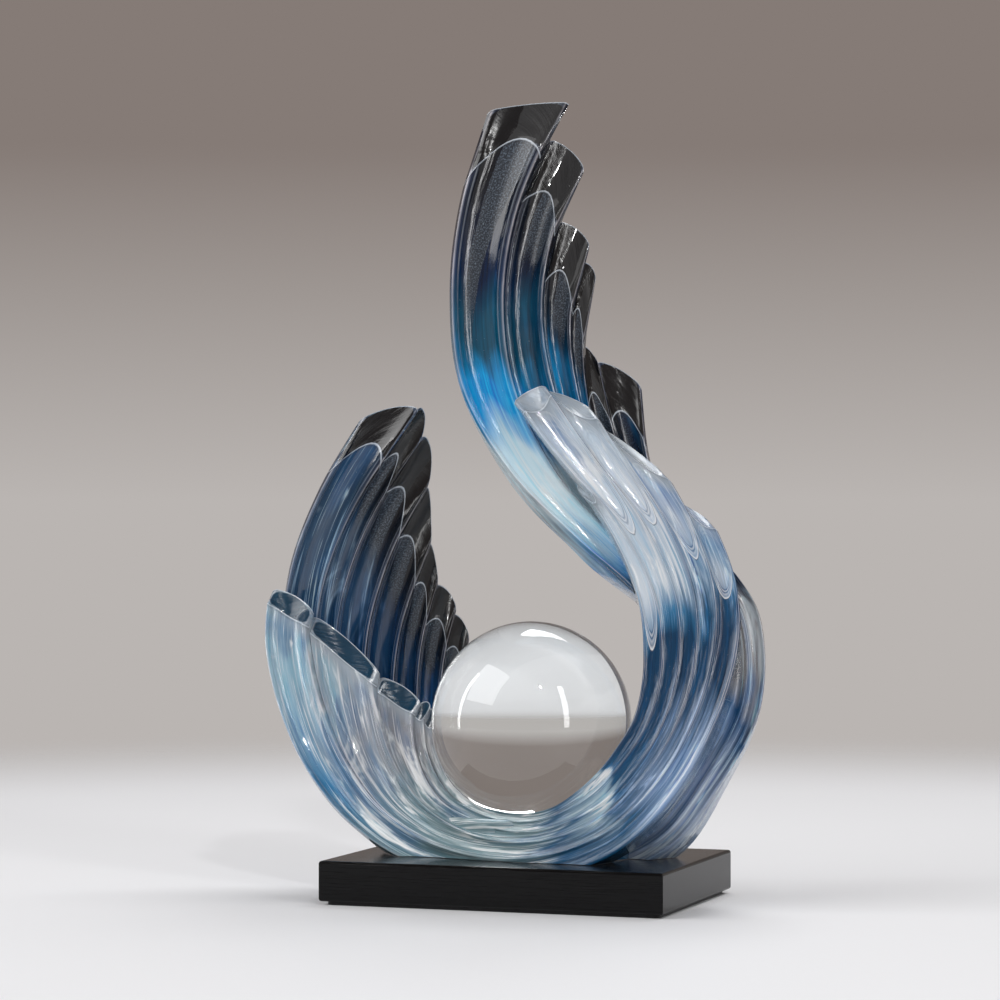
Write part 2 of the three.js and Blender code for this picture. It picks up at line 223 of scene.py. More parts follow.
def band_of(crescent):
    """A function that gives a place in the crescent's band from a station, a share across and a depth."""
    outer = [Vector((x, y, z + PLINTH_TOP / MM)) for x, y, z in crescent["outer"]]
    inner = [Vector((x, y, z + PLINTH_TOP / MM)) for x, y, z in crescent["inner"]]
    last = len(outer) - 1

    def place(station, share, depth):
        along = min(max(station / last, 0), 1)
        start, outer_way = point_through(outer, along, True)
        end, inner_way = point_through(inner, along, True)
        across = end - start
        run = outer_way.normalized() + inner_way.normalized()
        forward = run.cross(across).normalized()
        beyond = (station - along * last) * STATION_SPACING
        return start + across * share + forward * depth + run.normalized() * beyond

    return place


def feather(crescent, index, shape, grow=0):
    """One feather as a closed mesh, larger by grow millimetres all round."""
    place = band_of(crescent)
    last = len(crescent["outer"]) - 1
    ridges = [(0, 0, 0, 0, 0), *crescent["ridges"], (1, 1, 1, 1, 1)]
    left, right = crescent["left_tips"][index], crescent["right_tips"][index]
    bevels = crescent["tip_bevels"]

    def station_of(across, front, along):
        lobe = TIP_LOBE * math.sin(math.pi * across)
        corner = TIP_CORNER * abs(2 * across - 1) ** TIP_CORNER_SHARPNESS
        inset = corner - lobe - grow / STATION_SPACING
        scoop = 1 + crescent["tip_hollow"] * (math.sin(math.pi * across) - 1) if front else 0
        start = left[0] + (left[1] - left[0]) * across + inset + scoop * bevels[0]
        end = right[0] + (right[1] - right[0]) * across - inset - scoop * bevels[1]
        return start + (end - start) * along

    def surface_point(across, front, along):
        station = station_of(across, front, along)
        share = min(max(station / last, 0), 1)
        low = value_through(ridges[index], share)
        high = value_through(ridges[index + 1], share)
        width = (place(station, high, 0) - place(station, low, 0)).length
        spare = (FEATHER_OVERLAP / 2 + grow) / max(width, 1)
        wide = low + (high - low) * (across + spare * (2 * across - 1))
        slim = min(1, width / FULL_RELIEF_WIDTH) * value_through(crescent["relief"], share)
        lean = value_through(crescent["tilt"], share) * (0.5 - across) * slim
        if front:
            return place(station, wide, lean + relief(across, shape) * slim + grow), station, wide
        crown = EDGE_THICKNESS + CROWN * math.sin(math.pi * across)
        thick = value_through(crescent["thickness"], share) * crown
        return place(station, wide, lean - thick - grow), station, wide

    columns = section_shares(shape)
    length = (station_of(0.5, False, 1) - station_of(0.5, False, 0)) * STATION_SPACING
    rows = row_shares(length, shape)
    mesh = bmesh.new()
    spot = mesh.verts.layers.float_vector.new("spot")
    run = mesh.verts.layers.float.new("run")
    depth = mesh.verts.layers.float.new("depth")
    rims = []
    for front in (True, False):
        steps = (len(columns) - 1, len(rows) - 1)
        made = bmesh.ops.create_grid(mesh, x_segments=steps[0], y_segments=steps[1], size=0.5)
        for vertex in made["verts"]:
            column, row = (round((vertex.co[axis] + 0.5) * steps[axis]) for axis in (0, 1))
            across, along = columns[column], rows[row]
            point, station, wide = surface_point(across, front, along)
            vertex.co = point * MM
            vertex[spot] = (wide - (0 if front else WALL_SHARE), station / last, across)
            vertex[run] = along
            vertex[depth] = 0 if front else 1
        rims.append([e for e in mesh.edges if e.is_boundary and e.verts[0] in set(made["verts"])])
    walls = bmesh.ops.bridge_loops(mesh, edges=rims[0] + rims[1])["faces"]

    # Each tip's flat is divided from front to back, and dished
    ties = [
        e
        for e in {e for face in walls for e in face.edges}
        if e.verts[0][depth] != e.verts[1][depth] and {v[run] for v in e.verts} <= {0, 1}
    ]
    bmesh.ops.subdivide_edges(mesh, edges=ties, cuts=3, use_grid_fill=True)
    from_tip = {}
    for vertex in mesh.verts:
        across, end, through = vertex[spot].z, round(vertex[run]), vertex[depth]
        if 0 < through < 1:
            front, back = (surface_point(across, side, end)[0] for side in (True, False))
            inward = (surface_point(across, False, abs(end - INWARD_STEP))[0] - back).normalized()
            hollow = math.sin(math.pi * through) * math.sin(math.pi * across)
            vertex.co += inward * shape.dish_mm * hollow * MM
            from_tip[vertex] = -min(through, 1 - through) * (back - front).length * MM
        else:
            from_tip[vertex] = min(vertex[run], 1 - vertex[run]) * length * MM

    bmesh.ops.recalc_face_normals(mesh, faces=mesh.faces)
    map_corners(mesh, lambda vertex: (*vertex[spot], from_tip[vertex]))
    for kind, name in (("float", "run"), ("float", "depth"), ("float_vector", "spot")):
        layers = getattr(mesh.verts.layers, kind)
        layers.remove(layers[name])
    return mesh


def map_corners(mesh, places):
    """Gives each corner its place in the dye's flow and in its own feather, two numbers each."""
    flow = mesh.loops.layers.uv.new("flow")
    own = mesh.loops.layers.uv.new("feather")
    for face in mesh.faces:
        for corner in face.loops:
            wide, run, across, from_tip = places(corner.vert)
            corner[flow].uv = (wide, run)
            corner[own].uv = (across, from_tip)


def section_shares(shape):
    """Shares of the width at which the front and back faces have points: close ones on the lips."""
    lip = shape.lip_share
    lips = [lip * step / 4 for step in range(5)]
    channel = [lip + (1 - 2 * lip) * step / 8 for step in range(1, 8)]
    return lips + channel + [1 - share for share in reversed(lips)]


def row_shares(length, shape):
    """Even rows along the run, and closer ones that round both ends."""
    end = ROUNDING_ROWS[-1]
    count = max(4, math.ceil((length - 2 * end) / shape.row_spacing_mm))
    middle = [end + (length - 2 * end) * step / count for step in range(1, count)]
    rows = [d / length for d in ROUNDING_ROWS + middle]
    return rows + [1 - d / length for d in reversed(ROUNDING_ROWS)]


def relief(across, shape):
    """Height of the front face at that share of the width: a round lip on each side of a channel."""
    side = min(across, 1 - across)
    lip = shape.lip_share
    if side < lip:
        arch = math.sqrt(max(0, 1 - (2 * side / lip - 1) ** 2))
        return shape.lip_mm * ((1 + LIP_DROP) * arch - LIP_DROP)
    turn = (across - lip) / (1 - 2 * lip)
    hollow = shape.channel_mm * math.sin(math.pi * turn) ** CHANNEL_ROUNDNESS
    return -LIP_DROP * shape.lip_mm - hollow


def as_object(name, mesh):
    """The bmesh as an object of the scene; the bmesh is freed."""
    data = bpy.data.meshes.new(name)
    mesh.to_mesh(data)
    mesh.free()
    made = bpy.data.objects.new(name, data)
    bpy.context.scene.collection.objects.link(made)
    return made


def combine(target, operation, *others):
    """Joins the others to the target or cuts them from it; the others are gone afterwards."""
    for other in others:
        step = target.modifiers.new("combine", "BOOLEAN")
        step.operation = operation
        step.solver = "MANIFOLD"
        step.object = other
    graph = bpy.context.evaluated_depsgraph_get()
    data = bpy.data.meshes.new_from_object(
        target.evaluated_get(graph), preserve_all_data_layers=True, depsgraph=graph
    )
    target.modifiers.clear()
    old = target.data
    name = old.name
    target.data = data
    bpy.data.meshes.remove(old)
    data.name = name
    for other in others:
        data = other.data
        bpy.data.objects.remove(other)
        bpy.data.meshes.remove(data)
    return target


def crescent_body(name, crescent, shape, grow=0):
    """All the feathers of a crescent joined into one closed body."""
    parts = [
        as_object(name + "_feather", feather(crescent, index, shape, grow))
        for index in range(len(crescent["left_tips"]))
    ]
    return combine(parts[0], "UNION", *parts[1:])


def cradle(shape, grow=0):
    """The bowl under the sphere, an ellipse in plan that widens upwards."""
    mesh = bmesh.new()
    height = (shape.cradle_height_mm + grow) * MM
    bmesh.ops.create_cone(
        mesh,
        cap_ends=True,
        segments=96,
        radius1=(shape.cradle_foot_mm + grow) * MM,
        radius2=(shape.cradle_rim_mm + grow) * MM,
        depth=height,
    )
    rim = [e for e in mesh.edges if all(v.co.z > 0 for v in e.verts)]
    bmesh.ops.bevel(
        mesh, geom=rim, offset=CRADLE_ROUNDING, segments=4, profile=0.5, affect="EDGES", material=-1
    )
    bmesh.ops.scale(mesh, vec=(1, CRADLE_DEPTH_SHARE, 1), verts=mesh.verts)
    bmesh.ops.translate(mesh, vec=CRADLE_MIDDLE + Vector((0, 0, height / 2)), verts=mesh.verts)
    bmesh.ops.recalc_face_normals(mesh, faces=mesh.faces)

    def places(vertex):
        x, y, z = vertex.co - CRADLE_MIDDLE
        climb = CRADLE_FLOW_CLIMB * z / height + y / CRADLE_FLOW_METRES[0]
        return CRADLE_FLOW[0] + climb, CRADLE_FLOW[1] + x / CRADLE_FLOW_METRES[1], *FAR_FROM_TIPS

    map_corners(mesh, places)
    return as_object("cradle", mesh)


def sphere_way(shape):
    """The way that the sphere and its clearance take out of the seat, forwards and up."""
    radius = SPHERE_RADIUS + shape.seat_clearance_mm * MM
    ball = bmesh.new()
    bmesh.ops.create_uvsphere(ball, u_segments=96, v_segments=48, radius=radius)
    tube = bmesh.new()
    bmesh.ops.create_cone(
        tube, cap_ends=True, segments=96, radius1=radius, radius2=radius, depth=SEAT_WAY_LENGTH
    )
    bmesh.ops.translate(tube, vec=(0, 0, SEAT_WAY_LENGTH / 2), verts=tube.verts)
    lean = Matrix.Rotation(math.radians(SEAT_WAY_LEAN), 3, "X")
    bmesh.ops.rotate(tube, matrix=lean, verts=tube.verts)
    for mesh in (ball, tube):
        bmesh.ops.translate(mesh, vec=SPHERE_CENTRE, verts=mesh.verts)
    return combine(as_object("way", ball), "UNION", as_object("way_out", tube))


def below_feet():
    """The room under the castings' feet, up to the bond line on the plinth."""
    mesh = bmesh.new()
    bmesh.ops.create_cube(mesh, size=1)
    bmesh.ops.scale(mesh, vec=BELOW_FEET, verts=mesh.verts)
    middle = PLINTH_TOP + BOND_LINE * MM - BELOW_FEET[2] / 2
    bmesh.ops.translate(mesh, vec=(0, 0, middle), verts=mesh.verts)
    return as_object("below_feet", mesh)


def keep_main_body(made):
    """Drops the crumbs that a cut leaves, and what is enclosed inside the body."""
    mesh = bmesh.new()
    mesh.from_mesh(made.data)
    left = set(mesh.verts)
    groups = []
    while left:
        reached, waiting = set(), [left.pop()]
        while waiting:
            vertex = waiting.pop()
            reached.add(vertex)
            for edge in vertex.link_edges:
                other = edge.other_vert(vertex)
                if other in left:
                    left.discard(other)
                    waiting.append(other)
        groups.append(reached)
    main = max(groups, key=len)
    loose = [v for group in groups if group is not main for v in group]
    bmesh.ops.delete(mesh, geom=loose, context="VERTS")
    bmesh.ops.dissolve_degenerate(mesh, dist=SHORTEST_EDGE, edges=mesh.edges)
    mesh.to_mesh(made.data)
    mesh.free()
    for polygon in made.data.polygons:
        polygon.use_smooth = True
    made.data.set_sharp_from_angle(angle=math.radians(SHARP_ANGLE))


def wing(name, crescent, node, shape, with_cradle, taken=()):
    """A casting: its joined feathers, less the sphere's way, the plinth and what is already there."""
    body = crescent_body(name, crescent, shape)
    if with_cradle:
        body = combine(body, "UNION", cradle(shape))
    body = combine(body, "DIFFERENCE", sphere_way(shape), below_feet(), *taken)
    keep_main_body(body)
    body.name = name
    body.data.name = name
    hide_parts(node)
    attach(body, "stand")
    return body


# Materials

# Places of a Mix node's sockets for colours, whose names it uses more than once, and for numbers
MIX_FACTOR, MIX_FROM, MIX_TO, MIX_RESULT = 0, 6, 7, 2
MIX_NUMBER_FROM, MIX_NUMBER_TO = 2, 3

# What makes a Map Range node ease in and out instead of going evenly
SOFT = {"interpolation_type": "SMOOTHSTEP"}

# Dyes along each casting's outer and inner rim, from its left tips to its right tips. The alpha of
# a dye says how much light the resin lets through there.
FRONT_RIM_DYES = (
    (
        (0.0, "pale"), (0.12, "pale"), (0.24, "blue"), (0.34, "bottle"), (0.41, "bottle"),
        (0.45, "teal"), (0.53, "teal"), (0.57, "lavender"), (0.61, "lavender"), (0.68, "deep"),
        (0.77, "deep"), (0.82, "blue"), (0.87, "lavender"), (0.93, "milky"), (1.0, "milky"),
    ),
    (
        (0.0, "clear"), (0.2, "clear"), (0.3, "bottle"), (0.42, "bottle"), (0.46, "teal"),
        (0.52, "pale"), (0.54, "teal"), (0.6, "deep"), (0.73, "deep"), (0.76, "blue"),
        (0.8, "milky"), (1.0, "milky"),
    ),
)
BACK_RIM_DYES = (
    (
        (0.0, "haze"), (0.1, "haze"), (0.22, "blue"), (0.4, "clear"), (0.52, "clear"),
        (0.57, "blue"), (0.6, "smoke"), (0.66, "smoke"), (0.7, "deep"), (0.78, "night"),
        (0.86, "deep"), (0.93, "night"), (1.0, "black"),
    ),
    (
        (0.0, "night"), (0.08, "night"), (0.16, "deep"), (0.45, "deep"), (0.57, "blue"),
        (0.66, "blue"), (0.7, "pale"), (0.735, "ice"), (0.775, "ice"), (0.795, "bright"),
        (0.82, "bright"), (0.85, "teal"), (0.88, "teal"), (0.91, "night"), (0.96, "black"),
    ),
)

# Patterns in the resin: size across and along the flow in millimetres, detail and distortion
PATTERNS = {
    "pools": (26, 90, 2, 0.5),
    "drift": (12, 46, 3, 0.8),
    "pearls": (11, 48, 3, 0.9),
    "streaks": (3.2, 95, 4, 0),
    "threads": (1.1, 60, 3, 0),
    "ripples": (13, 30, 2, 0),
    "crumbs": (0.6, 0.7, 2, 0),
}

# What floats in thin dye: its pattern, the values at which it starts and is full, strength and dye
FLOATING = (
    ("pools", 0.48, 0.38, 0.5, "pool"),
    ("pearls", 0.52, 0.7, 0.75, "pearl"),
    ("streaks", 0.54, 0.66, 0.5, "pearl"),
    ("threads", 0.58, 0.66, 0.6, "pearl"),
)

# Lighter and darker strands: their pattern, strength and shades. Neutral grey leaves the dye as it is.
NEUTRAL = "#bcbcbc"
STRANDS = (
    (
        "pearls", 0.5,
        ((0.34, "#8ca0aa"), (0.46, NEUTRAL), (0.57, NEUTRAL), (0.62, "#f2f6fa"), (0.7, "#ffffff")),
    ),
    (
        "streaks", 0.65,
        ((0.34, "#446878"), (0.46, NEUTRAL), (0.57, NEUTRAL), (0.65, "#f0f4ff"), (0.7, "#ffffff")),
    ),
    ("threads", 0.5, ((0.33, "#6c787e"), (0.46, NEUTRAL), (0.58, NEUTRAL), (0.68, "#faf4f8"))),
)

# Painted highlights and shade across a lip, from the seam between two feathers inwards: painted shade in
# the seam and at the lip's inner foot, painted highlights on its crest, and how far each covers the dye
LIP_HIGHLIGHT_AND_SHADE_COLOURS = (
    (0.0, "#1c2234", 0.75), (0.028, "#222c44", 0.6), (0.05, "#f4eef4", 0.85), (0.068, "#b4bcd0", 0.5),
    (0.09, "#34405c", 0.45), (0.125, "#40506c", 0.3), (0.14, "#e6ecf6", 0.4), (0.165, "#8c98b4", 0.0),
)

# Painted highlight and shade on both sides of a tip's edge, by distance in centimetres: a painted bright
# line along the edge with a painted dark line beside it
RIM_HIGHLIGHT_COLOURS = (
    (0.0, "#e8edf4", 0.8), (0.035, "#ccd6e2", 0.6), (0.07, "#20242c", 0.4), (0.22, "#20242c", 0.0),
)

# Painted highlight on the long facet of each clear feather: colours from its middle to its rim by the
# square of the distance, and how far each covers the dye: a bright patch with rings of light and shade near
# its lower end
FACET_HIGHLIGHT_COLOURS = (
    (0.0, "#fafcff", 0.55), (0.46, "#e6f0fa", 0.35), (0.52, "#3c5c88", 0.55), (0.58, "#ffffff", 0.6),
    (0.64, "#48688f", 0.5), (0.71, "#f4f8ff", 0.5), (0.82, "#dfe8f4", 0.3), (0.92, "#ffffff", 0.95),
    (0.965, "#2c3c58", 0.7), (1.0, "#3c4c68", 0.0),
)

# How far the dyes are drawn out of line, as shares of the run and of the band's width
DRAWN_ALONG, DRAWN_ACROSS = 0.14, 0.9

# Shares of the band's width over which the outer rim's dye turns to the inner rim's, and clearness
# over which things that float in the dye start to show
RIM_TO_RIM = (0.05, 0.75)
THIN_DYE = (0.12, 0.4)

# The tip's dye is full over this share of its reach. The band's outer edge, which ends over these
# shares of its width, takes only a share of it.
TIP_FULL = 0.1
OUTER_EDGE = (0.13, 0.22)
OUTER_EDGE_TAKES = 0.35

# The tongue of grit, in shares of a feather's width: its middle and its half width at the tip, what
# its whole reach adds to each, and how ragged it is. Its sides and its end fade over these shares.
GRIT_MIDDLE, GRIT_MIDDLE_ADDS = 0.34, 0.4
GRIT_HALF, GRIT_HALF_ADDS = 0.26, -0.2
GRIT_RAGGED = 0.5
GRIT_SIDES, GRIT_END = (1, 0.86), (1, 0.6)

# The shortest tongue as a share of the longest, and the share across times the share along over which
# one grows into the other
GRIT_SHORTEST = 0.36
TALL_WING = (0.6, 0.7)

# The shortest facet as a share of the longest, a feather's width over its facet's, and how much the
# facet's outline is bent. With -1 at its upper end and 1 at its lower end, it goes from faint to full
# between these places.
FACET_SHORTEST, FEATHER_OVER_FACET, FACET_BENT = 0.4, 1.15, 0.3
FACET_FULL, FACET_FAINT = (-0.6, 0.5), 0.25

# Values of the crumbs' pattern at which specks in the grit and glints in the resin start and are full
SPECKS, GLINTS = (0.46, 0.64), (0.73, 0.78)

# How the drift is stretched and shifted to make the lips' painted highlights and shade come and go, and
# the shares of the run on both sides of its middle over which they return
LIPS_STRETCH, LIPS_SHIFT = 2, -0.5
LIPS_RETURN = (0.04, 0.16)

# A flat's lens: millimetres from its rim to its full depth, and the values at which it starts and is full
LENS_DEPTH, LENS_EDGE = 4, (0.03, 0.066)

# How clear the resin stays under a facet's painted highlight, and under the painted highlights and shade
# of the lips and the tips' rims
FACET_CLEARNESS = 0.2
LINE_CLEARNESS = 0.25

# Roughness of the polished resin, and what the grit and the cut flats add to it
POLISH = 0.04
GRIT_ROUGHNESS = 0.4
FLAT_ROUGHNESS = 0.16

# What the polish leaves of the patterns' relief: depths in millimetres
SURFACE_DEPTHS = (("ripples", 1.2), ("streaks", 0.4), ("threads", 0.1), ("crumbs", 0.03))


def linear(colour, alpha=1.0):
    """An sRGB hex colour as the linear colour that a shader takes."""
    parts = [int(colour[i : i + 2], 16) / 255 for i in (1, 3, 5)]
    return [c / 12.92 if c <= 0.04045 else ((c + 0.055) / 1.055) ** 2.4 for c in parts] + [alpha]


def add_node(tree, kind, inputs=(), stops=(), **settings):
    """Adds a shader node and gives its outputs.

    Its inputs are values or sockets to link from, by name or in order. Stops are those of a ramp.
    """
    node = tree.nodes.new("ShaderNode" + kind)
    for key, value in settings.items():
        setattr(node, key, value)
    for key, value in inputs.items() if isinstance(inputs, dict) else enumerate(inputs):
        if isinstance(value, bpy.types.NodeSocket):
            tree.links.new(value, node.inputs[key])
        else:
            node.inputs[key].default_value = value
    for number, (place, colour) in enumerate(stops):
        elements = node.color_ramp.elements
        element = elements[number] if number < len(elements) else elements.new(place)
        element.position = place
        element.color = colour
    return node.outputs


def new_material(name):
    made = bpy.data.materials.new(name)
    made.use_nodes = True
    made.node_tree.nodes.clear()
    return made, made.node_tree


def wear(made, material):
    made.data.materials.clear()
    made.data.materials.append(material)


def cover(tree, under, mask, over):
    """Covers a colour and its clearness with others where the mask is one."""
    colours = {MIX_FACTOR: mask, MIX_FROM: under[0], MIX_TO: over[0]}
    colour = add_node(tree, "Mix", colours, data_type="RGBA")[MIX_RESULT]
    numbers = {MIX_FACTOR: mask, MIX_NUMBER_FROM: under[1], MIX_NUMBER_TO: over[1]}
    return colour, add_node(tree, "Mix", numbers)[0]


def grit_mask(tree, dyes, patterns, wide, run, own_share, from_tip, past_edge):
    """Where crumbled pigment lies: a ragged tongue that crosses the channel down from each tip."""
    length = dyes.grit_mm * MM
    ragged, middle, half = (
        add_node(tree, "Math", values, operation="MULTIPLY_ADD")[0]
        for values in (
            (patterns["ripples"], GRIT_RAGGED, -GRIT_RAGGED / 2),
            (from_tip, GRIT_MIDDLE_ADDS / length, GRIT_MIDDLE),
            (from_tip, GRIT_HALF_ADDS / length, GRIT_HALF),
        )
    )
    aside = add_node(tree, "Math", (own_share, middle), operation="SUBTRACT")[0]
    aside = add_node(tree, "Math", (aside,), operation="ABSOLUTE")[0]
    tongue = add_node(tree, "Math", (aside, half), operation="DIVIDE")[0]
    tongue = add_node(tree, "Math", (tongue, ragged), operation="ADD")[0]
    inside = add_node(tree, "MapRange", (tongue, *GRIT_SIDES), **SOFT)[0]

    # It reaches down furthest on the longest feathers of the tall wing
    tall = add_node(tree, "Math", (wide, run), operation="MULTIPLY")[0]
    tall = add_node(tree, "MapRange", (tall, *TALL_WING), **SOFT)[0]
    shortest = GRIT_SHORTEST * length
    far = add_node(tree, "Math", (tall, length - shortest, shortest), operation="MULTIPLY_ADD")[0]
    down = add_node(tree, "Math", (from_tip, far), operation="DIVIDE")[0]
    reached = add_node(tree, "MapRange", (down, *GRIT_END), **SOFT)[0]
    mask = add_node(tree, "Math", (inside, reached), operation="MULTIPLY")[0]
    return add_node(tree, "Math", (mask, past_edge), operation="MULTIPLY")[0]


def facet(tree, dyes, patterns, wide, run, own_share, from_tip):
    """The facets' painted highlights from the right tips down, longer towards the inner rim: mask and
    colour.
    """
    longest = dyes.facet_highlight_mm * MM
    shortest = FACET_SHORTEST * longest
    length = (wide, longest - shortest, shortest)
    length = add_node(tree, "Math", length, operation="MULTIPLY_ADD")[0]
    down = add_node(tree, "Math", (from_tip, length), operation="DIVIDE")[0]
    down = add_node(tree, "Math", (down, 2, -1), operation="MULTIPLY_ADD")[0]
    aside = (own_share, 2 * FEATHER_OVER_FACET, -FEATHER_OVER_FACET)
    aside = add_node(tree, "Math", aside, operation="MULTIPLY_ADD")[0]
    bent = (patterns["drift"], FACET_BENT, -FACET_BENT / 2)
    bent = add_node(tree, "Math", bent, operation="MULTIPLY_ADD")[0]
    radius = add_node(tree, "Math", (aside, aside, bent), operation="MULTIPLY_ADD")[0]
    radius = add_node(tree, "Math", (down, down, radius), operation="MULTIPLY_ADD")[0]
    stops = [(share, linear(tone, alpha)) for share, tone, alpha in FACET_HIGHLIGHT_COLOURS]
    colour, mask = add_node(tree, "ValToRGB", (radius,), stops)

    # Faint at the tip, full towards the lower end, and on the right half of the run only
    lower = add_node(tree, "MapRange", (down, *FACET_FULL, FACET_FAINT, 1), **SOFT)[0]
    right = add_node(tree, "Math", (run, 0.5), operation="GREATER_THAN")[0]
    for share in (lower, right):
        mask = add_node(tree, "Math", (mask, share), operation="MULTIPLY")[0]
    return mask, colour


def resin(name, crescent, rim_dyes, dyes):
    """Clear casting resin, dyed wet in long streaks and poured into a polished mould.

    To the eye it is wet and glassy: deep where dye pooled, clear where it thinned, with pale threads
    drawn out along the flow, painted highlights and shade along the lips, a painted highlight round each
    tip's edge, crumbled dark pigment at the dark feathers' tips and painted highlights on facets at the
    clear ones'. The crumbs are drawn at 0.6 mm, coarser than real, so that they show.
    """
    made, tree = new_material(name)
    run_length = (len(crescent["outer"]) - 1) * STATION_SPACING
    flow = add_node(tree, "UVMap", uv_map="flow")[0]
    wide, run = add_node(tree, "SeparateXYZ", (flow,))[:2]
    own = add_node(tree, "UVMap", uv_map="feather")[0]
    own_share, from_tip = add_node(tree, "SeparateXYZ", (own,))[:2]
    edge = add_node(tree, "Math", (own_share, 0.5), operation="PINGPONG")[0]
    patterns = {}
    for label, (wide_mm, long_mm, detail, distortion) in PATTERNS.items():
        scale = (BAND_WIDTH / wide_mm, run_length / long_mm, 1)
        spaced = add_node(tree, "Mapping", {"Vector": flow, "Scale": scale})[0]
        noise = {"Scale": 1, "Detail": detail, "Roughness": 0.6, "Distortion": distortion}
        patterns[label] = add_node(tree, "TexNoise", {"Vector": spaced, **noise})["Fac"]

    # Dye by the place along and across the band, drawn out of line by the pools and the drift
    drawn = []
    for place, label, amount in ((run, "pools", DRAWN_ALONG), (wide, "drift", DRAWN_ACROSS)):
        aside = (patterns[label], amount, -amount / 2)
        aside = add_node(tree, "Math", aside, operation="MULTIPLY_ADD")[0]
        drawn.append(add_node(tree, "Math", (place, aside), operation="ADD")[0])
    along, across = drawn
    across = add_node(tree, "MapRange", (across, *RIM_TO_RIM), **SOFT)[0]
    outer, inner = (
        add_node(tree, "ValToRGB", (along,), [(share, getattr(dyes, dye)) for share, dye in rim])
        for rim in rim_dyes
    )
    look = cover(tree, outer, across, inner)

    # Where the dye is thin, blue pools, pearly clouds and pale threads float in it
    thin = add_node(tree, "MapRange", (look[1], *THIN_DYE), **SOFT)[0]
    for label, start, full, strength, dye in FLOATING:
        mask = add_node(tree, "MapRange", (patterns[label], start, full, 0, strength), **SOFT)[0]
        mask = add_node(tree, "Math", (mask, thin), operation="MULTIPLY")[0]
        look = cover(tree, look, mask, (getattr(dyes, dye), getattr(dyes, dye)[3]))
    for label, strength, shades in STRANDS:
        stops = [(share, linear(tone)) for share, tone in shades]
        shade = add_node(tree, "ValToRGB", (patterns[label],), stops)[0]
        colours = {MIX_FACTOR: strength, MIX_FROM: look[0], MIX_TO: shade}
        mixed = add_node(tree, "Mix", colours, data_type="RGBA", blend_type="OVERLAY")
        look = (mixed[MIX_RESULT], look[1])

    # Towards a tip the dye turns to the tip's own, less so along the outer rim
    reach = dyes.tip_reach_mm * MM
    near_tip = add_node(tree, "MapRange", (from_tip, reach, TIP_FULL * reach), **SOFT)[0]
    past_edge = add_node(tree, "MapRange", (wide, *OUTER_EDGE), **SOFT)[0]
    mask = (past_edge, 1 - OUTER_EDGE_TAKES, OUTER_EDGE_TAKES)
    mask = add_node(tree, "Math", mask, operation="MULTIPLY_ADD")[0]
    mask = add_node(tree, "Math", (near_tip, mask), operation="MULTIPLY")[0]
    look = cover(tree, look, mask, (dyes.tip, dyes.tip[3]))
    roughness = POLISH
    if hasattr(dyes, "grit_mm"):
        grit = grit_mask(tree, dyes, patterns, wide, run, own_share, from_tip, past_edge)
        crumbs = add_node(tree, "MapRange", (patterns["crumbs"], *SPECKS), **SOFT)[0]
        specks = add_node(tree, "Math", (grit, crumbs), operation="MULTIPLY")[0]
        look = cover(tree, look, grit, (dyes.grit, dyes.grit[3]))
        look = cover(tree, look, specks, (dyes.specks, dyes.specks[3]))
        rougher = (grit, GRIT_ROUGHNESS, roughness)
        roughness = add_node(tree, "Math", rougher, operation="MULTIPLY_ADD")[0]
    glints = add_node(tree, "MapRange", (patterns["crumbs"], *GLINTS), **SOFT)[0]
    look = cover(tree, look, glints, (dyes.pearl, dyes.pearl[3]))
    # Painted highlights on the clear feathers' facets: a bright patch with painted rings of light and shade
    if hasattr(dyes, "facet_highlight_mm"):
        mask, colour = facet(tree, dyes, patterns, wide, run, own_share, from_tip)
        look = cover(tree, look, mask, (colour, FACET_CLEARNESS))

    # Painted highlights and shade along the lips come and go, and fade under the sphere. A painted
    # highlight runs round each tip's edge, with a painted dark line beside it.
    uneven = (patterns["drift"], LIPS_STRETCH, LIPS_SHIFT)
    uneven = add_node(tree, "Math", uneven, operation="MULTIPLY_ADD", use_clamp=True)[0]
    off_middle = add_node(tree, "Math", (run, 0.5), operation="SUBTRACT")[0]
    off_middle = add_node(tree, "Math", (off_middle,), operation="ABSOLUTE")[0]
    off_middle = add_node(tree, "MapRange", (off_middle, *LIPS_RETURN), **SOFT)[0]
    uneven = add_node(tree, "Math", (uneven, off_middle), operation="MULTIPLY")[0]
    from_edge = add_node(tree, "Math", (from_tip,), operation="ABSOLUTE")[0]
    centimetres = add_node(tree, "Math", (from_edge, 10 * MM), operation="DIVIDE")[0]
    for value, colours, strength in ((edge, LIP_HIGHLIGHT_AND_SHADE_COLOURS, uneven), (centimetres, RIM_HIGHLIGHT_COLOURS, 1)):
        stops = [(share, linear(tone, alpha)) for share, tone, alpha in colours]
        colour, mask = add_node(tree, "ValToRGB", (value,), stops)
        mask = add_node(tree, "Math", (mask, strength), operation="MULTIPLY")[0]
        look = cover(tree, look, mask, (colour, LINE_CLEARNESS))

    # Last the dished flat of the tip itself, a lens inside its rim
    inwards = (from_tip, -LENS_DEPTH * MM)
    inwards = add_node(tree, "Math", inwards, operation="DIVIDE", use_clamp=True)[0]
    lens = add_node(tree, "Math", (inwards, edge), operation="MULTIPLY")[0]
    lens = add_node(tree, "MapRange", (lens, *LENS_EDGE), **SOFT)[0]
    dyed = add_node(tree, "Math", (run, dyes.flats_to), operation="LESS_THAN")[0]
    flat = add_node(tree, "Math", (lens, dyed), operation="MULTIPLY")[0]
    look = cover(tree, look, flat, (dyes.flat, dyes.flat[3]))
    rougher = (flat, FLAT_ROUGHNESS, roughness)
    roughness = add_node(tree, "Math", rougher, operation="MULTIPLY_ADD")[0]

